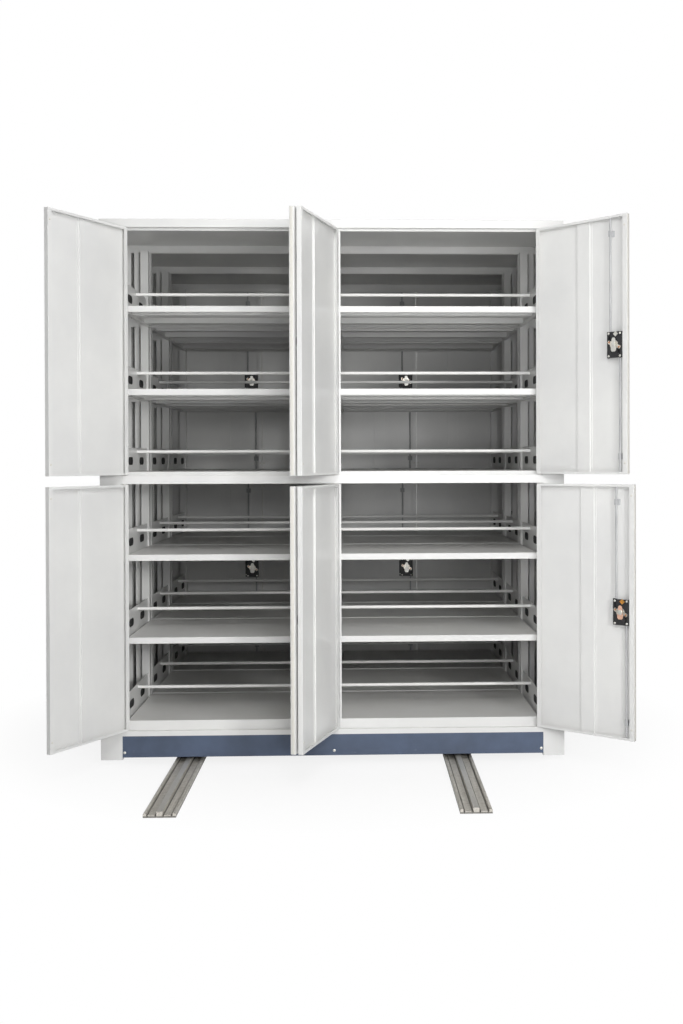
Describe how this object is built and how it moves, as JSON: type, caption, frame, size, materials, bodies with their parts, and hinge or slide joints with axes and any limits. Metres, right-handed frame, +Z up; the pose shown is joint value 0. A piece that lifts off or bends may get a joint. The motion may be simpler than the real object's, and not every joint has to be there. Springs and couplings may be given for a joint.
{
  "type": "mobile file compactor",
  "caption": "Mobile shelving block on floor rails: end units with lockable hinged doors roll away from a fixed middle unit, driven by hand wheels.",
  "frame": {"origin": "on the floor under the middle of the closed block, on the underside of the middle tie bar", "axes": "+X to the right seen from the front, +Y from the front face to the rear face along the rails, +Z up"},
  "size_m": [2.3125, 3.076, 2.288],
  "materials": {
    "door_enamel": "semi-gloss light grey powder coat",
    "frame_enamel": "semi-gloss light grey powder coat",
    "shelf_enamel": "semi-gloss light grey powder coat",
    "base_paint": "semi-gloss blue-grey powder coat",
    "rail_zinc": "worn galvanised steel",
    "running_steel": "turned and lightly oiled",
    "lock_black": "matt black",
    "handle_brass": "nickel plated brass, satin",
    "buffer_rubber": "matt black"
  },
  "bodies": {
    "fixed_block": {"rails": "rail_zinc", "rail_ties": "rail_zinc", "middle_base": "base_paint", "middle_uprights": "frame_enamel", "middle_shelves": "shelf_enamel", "middle_file_rods": "frame_enamel", "middle_casing": "frame_enamel", "buffers": "buffer_rubber"},
    "front_carriage": {"front_base": "base_paint", "front_uprights": "frame_enamel", "front_shelves": "shelf_enamel", "front_file_rods": "frame_enamel", "front_casing": "frame_enamel", "front_door_frame": "frame_enamel", "front_chain": "running_steel"},
    "front_drive_axle": {"front_drive_axle": "running_steel"},
    "front_idle_axle": {"front_idle_axle": "running_steel"},
    "front_hand_wheel": {"front_hand_wheel": "running_steel"},
    "front_upper_door_1": {"front_upper_door_1": "door_enamel"},
    "front_upper_door_2": {"front_upper_door_2": "door_enamel", "front_upper_lock_2": "lock_black"},
    "front_upper_handle_2": {"front_upper_handle_2": "handle_brass"},
    "front_upper_door_3": {"front_upper_door_3": "door_enamel"},
    "front_upper_door_4": {"front_upper_door_4": "door_enamel", "front_upper_lock_4": "lock_black"},
    "front_upper_handle_4": {"front_upper_handle_4": "handle_brass"},
    "front_lower_door_1": {"front_lower_door_1": "door_enamel"},
    "front_lower_door_2": {"front_lower_door_2": "door_enamel", "front_lower_lock_2": "lock_black"},
    "front_lower_handle_2": {"front_lower_handle_2": "handle_brass"},
    "front_lower_door_3": {"front_lower_door_3": "door_enamel"},
    "front_lower_door_4": {"front_lower_door_4": "door_enamel", "front_lower_lock_4": "lock_black"},
    "front_lower_handle_4": {"front_lower_handle_4": "handle_brass"},
    "rear_carriage": {"rear_base": "base_paint", "rear_uprights": "frame_enamel", "rear_shelves": "shelf_enamel", "rear_file_rods": "frame_enamel", "rear_casing": "frame_enamel", "rear_door_frame": "frame_enamel", "rear_chain": "running_steel"},
    "rear_drive_axle": {"rear_drive_axle": "running_steel"},
    "rear_idle_axle": {"rear_idle_axle": "running_steel"},
    "rear_hand_wheel": {"rear_hand_wheel": "running_steel"},
    "rear_upper_door_1": {"rear_upper_door_1": "door_enamel"},
    "rear_upper_door_2": {"rear_upper_door_2": "door_enamel", "rear_upper_lock_2": "lock_black"},
    "rear_upper_handle_2": {"rear_upper_handle_2": "handle_brass"},
    "rear_upper_door_3": {"rear_upper_door_3": "door_enamel"},
    "rear_upper_door_4": {"rear_upper_door_4": "door_enamel", "rear_upper_lock_4": "lock_black"},
    "rear_upper_handle_4": {"rear_upper_handle_4": "handle_brass"},
    "rear_lower_door_1": {"rear_lower_door_1": "door_enamel"},
    "rear_lower_door_2": {"rear_lower_door_2": "door_enamel", "rear_lower_lock_2": "lock_black"},
    "rear_lower_handle_2": {"rear_lower_handle_2": "handle_brass"},
    "rear_lower_door_3": {"rear_lower_door_3": "door_enamel"},
    "rear_lower_door_4": {"rear_lower_door_4": "door_enamel", "rear_lower_lock_4": "lock_black"},
    "rear_lower_handle_4": {"rear_lower_handle_4": "handle_brass"}
  },
  "joints": [
    {"name": "front_carriage_slide", "type": "slide", "parent": "fixed_block", "child": "front_carriage", "axis": [0, -1, 0], "range_m": [0, 0.65]},
    {"name": "front_drive_axle_turn", "type": "hinge", "parent": "front_carriage", "child": "front_drive_axle", "pos_m": [0, -0.743, 0.0823], "axis": [1, 0, 0], "range_deg": [0, 621]},
    {"name": "front_idle_axle_turn", "type": "hinge", "parent": "front_carriage", "child": "front_idle_axle", "pos_m": [0, -0.405, 0.0823], "axis": [1, 0, 0], "range_deg": [0, 621]},
    {"name": "front_hand_wheel_turn", "type": "hinge", "parent": "front_carriage", "child": "front_hand_wheel", "pos_m": [0.975, -0.574, 0.985], "axis": [1, 0, 0], "range_deg": [0, 1242]},
    {"name": "front_upper_door_1_swing", "type": "hinge", "parent": "front_carriage", "child": "front_upper_door_1", "pos_m": [-0.874, -0.855, 1.7345], "axis": [0, 0, -1], "range_deg": [-121, 24]},
    {"name": "front_upper_door_2_swing", "type": "hinge", "parent": "front_carriage", "child": "front_upper_door_2", "pos_m": [-0.007, -0.855, 1.7345], "axis": [0, 0, 1], "range_deg": [-71.8, 0]},
    {"name": "front_upper_handle_2_turn", "type": "hinge", "parent": "front_upper_door_2", "child": "front_upper_handle_2", "pos_m": [-0.12498, -1.21385, 1.7345], "axis": [-0.95, 0.3123, 0], "range_deg": [0, 90]},
    {"name": "front_upper_door_3_swing", "type": "hinge", "parent": "front_carriage", "child": "front_upper_door_3", "pos_m": [0.007, -0.855, 1.7345], "axis": [0, 0, -1], "range_deg": [-108, 0]},
    {"name": "front_upper_door_4_swing", "type": "hinge", "parent": "front_carriage", "child": "front_upper_door_4", "pos_m": [0.874, -0.855, 1.7345], "axis": [0, 0, 1], "range_deg": [-135, 11]},
    {"name": "front_upper_handle_4_turn", "type": "hinge", "parent": "front_upper_door_4", "child": "front_upper_handle_4", "pos_m": [1.13864, -1.11963, 1.7345], "axis": [-0.7071, -0.7071, 0], "range_deg": [0, 90]},
    {"name": "front_lower_door_1_swing", "type": "hinge", "parent": "front_carriage", "child": "front_lower_door_1", "pos_m": [-0.874, -0.855, 0.6625], "axis": [0, 0, -1], "range_deg": [-121, 24]},
    {"name": "front_lower_door_2_swing", "type": "hinge", "parent": "front_carriage", "child": "front_lower_door_2", "pos_m": [-0.007, -0.855, 0.6625], "axis": [0, 0, 1], "range_deg": [-71.8, 0]},
    {"name": "front_lower_handle_2_turn", "type": "hinge", "parent": "front_lower_door_2", "child": "front_lower_handle_2", "pos_m": [-0.12498, -1.21385, 0.6625], "axis": [-0.95, 0.3123, 0], "range_deg": [0, 90]},
    {"name": "front_lower_door_3_swing", "type": "hinge", "parent": "front_carriage", "child": "front_lower_door_3", "pos_m": [0.007, -0.855, 0.6625], "axis": [0, 0, -1], "range_deg": [-108, 0]},
    {"name": "front_lower_door_4_swing", "type": "hinge", "parent": "front_carriage", "child": "front_lower_door_4", "pos_m": [0.874, -0.855, 0.6625], "axis": [0, 0, 1], "range_deg": [-142, 4]},
    {"name": "front_lower_handle_4_turn", "type": "hinge", "parent": "front_lower_door_4", "child": "front_lower_handle_4", "pos_m": [1.16891, -1.08541, 0.6625], "axis": [-0.6157, -0.788, 0], "range_deg": [0, 90]},
    {"name": "rear_carriage_slide", "type": "slide", "parent": "fixed_block", "child": "rear_carriage", "axis": [0, 1, 0], "range_m": [0, 0.65]},
    {"name": "rear_drive_axle_turn", "type": "hinge", "parent": "rear_carriage", "child": "rear_drive_axle", "pos_m": [0, 0.743, 0.0823], "axis": [-1, 0, 0], "range_deg": [0, 621]},
    {"name": "rear_idle_axle_turn", "type": "hinge", "parent": "rear_carriage", "child": "rear_idle_axle", "pos_m": [0, 0.405, 0.0823], "axis": [-1, 0, 0], "range_deg": [0, 621]},
    {"name": "rear_hand_wheel_turn", "type": "hinge", "parent": "rear_carriage", "child": "rear_hand_wheel", "pos_m": [0.975, 0.574, 0.985], "axis": [-1, 0, 0], "range_deg": [0, 1242]},
    {"name": "rear_upper_door_1_swing", "type": "hinge", "parent": "rear_carriage", "child": "rear_upper_door_1", "pos_m": [0.874, 0.855, 1.7345], "axis": [0, 0, -1], "range_deg": [0, 145]},
    {"name": "rear_upper_door_2_swing", "type": "hinge", "parent": "rear_carriage", "child": "rear_upper_door_2", "pos_m": [0.007, 0.855, 1.7345], "axis": [0, 0, 1], "range_deg": [0, 88]},
    {"name": "rear_upper_handle_2_turn", "type": "hinge", "parent": "rear_upper_door_2", "child": "rear_upper_handle_2", "pos_m": [0.38475, 0.855, 1.7345], "axis": [0, -1, 0], "range_deg": [0, 90]},
    {"name": "rear_upper_door_3_swing", "type": "hinge", "parent": "rear_carriage", "child": "rear_upper_door_3", "pos_m": [-0.007, 0.855, 1.7345], "axis": [0, 0, -1], "range_deg": [0, 88]},
    {"name": "rear_upper_door_4_swing", "type": "hinge", "parent": "rear_carriage", "child": "rear_upper_door_4", "pos_m": [-0.874, 0.855, 1.7345], "axis": [0, 0, 1], "range_deg": [0, 145]},
    {"name": "rear_upper_handle_4_turn", "type": "hinge", "parent": "rear_upper_door_4", "child": "rear_upper_handle_4", "pos_m": [-0.49975, 0.855, 1.7345], "axis": [0, -1, 0], "range_deg": [0, 90]},
    {"name": "rear_lower_door_1_swing", "type": "hinge", "parent": "rear_carriage", "child": "rear_lower_door_1", "pos_m": [0.874, 0.855, 0.6625], "axis": [0, 0, -1], "range_deg": [0, 145]},
    {"name": "rear_lower_door_2_swing", "type": "hinge", "parent": "rear_carriage", "child": "rear_lower_door_2", "pos_m": [0.007, 0.855, 0.6625], "axis": [0, 0, 1], "range_deg": [0, 88]},
    {"name": "rear_lower_handle_2_turn", "type": "hinge", "parent": "rear_lower_door_2", "child": "rear_lower_handle_2", "pos_m": [0.38475, 0.855, 0.6625], "axis": [0, -1, 0], "range_deg": [0, 90]},
    {"name": "rear_lower_door_3_swing", "type": "hinge", "parent": "rear_carriage", "child": "rear_lower_door_3", "pos_m": [-0.007, 0.855, 0.6625], "axis": [0, 0, -1], "range_deg": [0, 88]},
    {"name": "rear_lower_door_4_swing", "type": "hinge", "parent": "rear_carriage", "child": "rear_lower_door_4", "pos_m": [-0.874, 0.855, 0.6625], "axis": [0, 0, 1], "range_deg": [0, 145]},
    {"name": "rear_lower_handle_4_turn", "type": "hinge", "parent": "rear_lower_door_4", "child": "rear_lower_handle_4", "pos_m": [-0.49975, 0.855, 0.6625], "axis": [0, -1, 0], "range_deg": [0, 90]}
  ],
  "couplings": [
    {"joint": "front_drive_axle_turn", "follows": "front_carriage_slide", "rad_per_m": 16.667},
    {"joint": "front_idle_axle_turn", "follows": "front_carriage_slide", "rad_per_m": 16.667},
    {"joint": "front_hand_wheel_turn", "follows": "front_carriage_slide", "rad_per_m": 33.333},
    {"joint": "rear_drive_axle_turn", "follows": "rear_carriage_slide", "rad_per_m": 16.667},
    {"joint": "rear_idle_axle_turn", "follows": "rear_carriage_slide", "rad_per_m": 16.667},
    {"joint": "rear_hand_wheel_turn", "follows": "rear_carriage_slide", "rad_per_m": 33.333}
  ]
}
